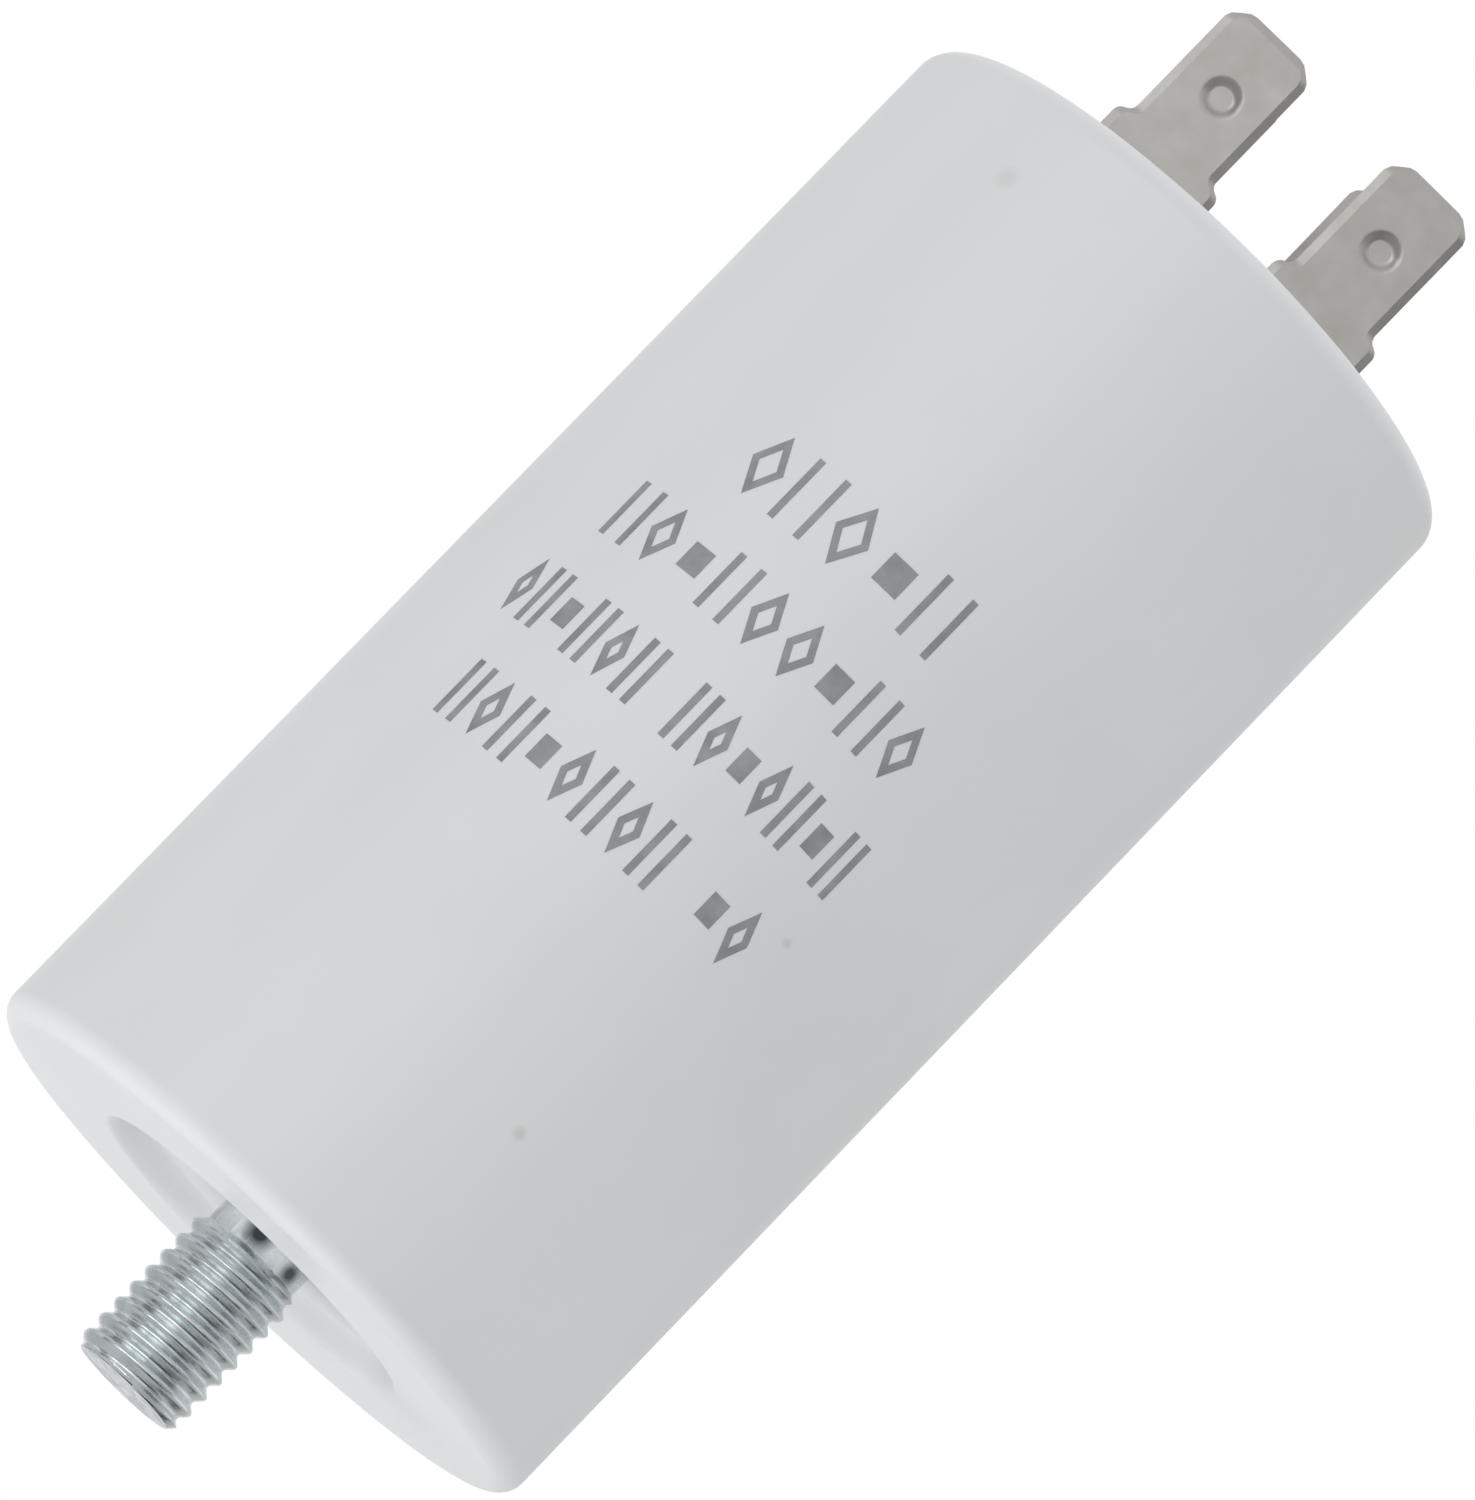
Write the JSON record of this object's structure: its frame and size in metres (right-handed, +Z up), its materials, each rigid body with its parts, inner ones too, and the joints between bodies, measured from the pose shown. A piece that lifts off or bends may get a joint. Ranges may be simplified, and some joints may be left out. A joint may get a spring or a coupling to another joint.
{
  "type": "motor run capacitor",
  "caption": "Cylindrical plastic-cased motor run capacitor with a threaded fixing stud in its base and two riveted twin-blade push-on terminals on its lid.",
  "frame": {"origin": "centre of the flat ring on the base that seats on the mounting panel", "axes": "+Z up the can's axis towards the terminals, so the stud points along -Z; +X from the left terminal to the right one; the terminals' front blades face -Y"},
  "size_m": [0.04, 0.04, 0.1016],
  "materials": {
    "can_plastic": "moulded, satin, white",
    "lid_plastic": "moulded, satin, white",
    "marking_ink": "pad-printed grey ink",
    "zinc_steel": "bright zinc plated steel",
    "tinned_sheet": "dull tin plate on stamped sheet",
    "rivet_metal": "dull tin plate",
    "tag_metal": "dull tin plate",
    "solder": "dull solder",
    "lead_wire": "tinned copper wire",
    "sleeve_plastic": "woven insulating sleeve",
    "mandrel_plastic": "extruded plastic tube",
    "film": "metallised film",
    "wrap_film": "adhesive film wrap",
    "zinc_spray": "sprayed zinc, rough",
    "disc_board": "insulating board",
    "resin": "potting resin"
  },
  "bodies": {
    "root": {"case": "can_plastic", "stud": "zinc_steel", "lid": "lid_plastic", "terminal_left": "tinned_sheet", "terminal_right": "tinned_sheet", "rivet_left": "rivet_metal", "rivet_right": "rivet_metal", "solder_tag_left": "tag_metal", "solder_tag_right": "tag_metal", "tag_solder_left": "solder", "tag_solder_right": "solder", "lead_long": "lead_wire", "lead_sleeve": "sleeve_plastic", "lead_short": "lead_wire", "solder_joint_bottom": "solder", "solder_joint_top": "solder", "winding_mandrel": "mandrel_plastic", "film_winding": "film", "roll_wrap": "wrap_film", "end_spray_bottom": "zinc_spray", "end_spray_top": "zinc_spray", "base_disc": "disc_board", "potting_resin": "resin"}
  },
  "joints": []
}
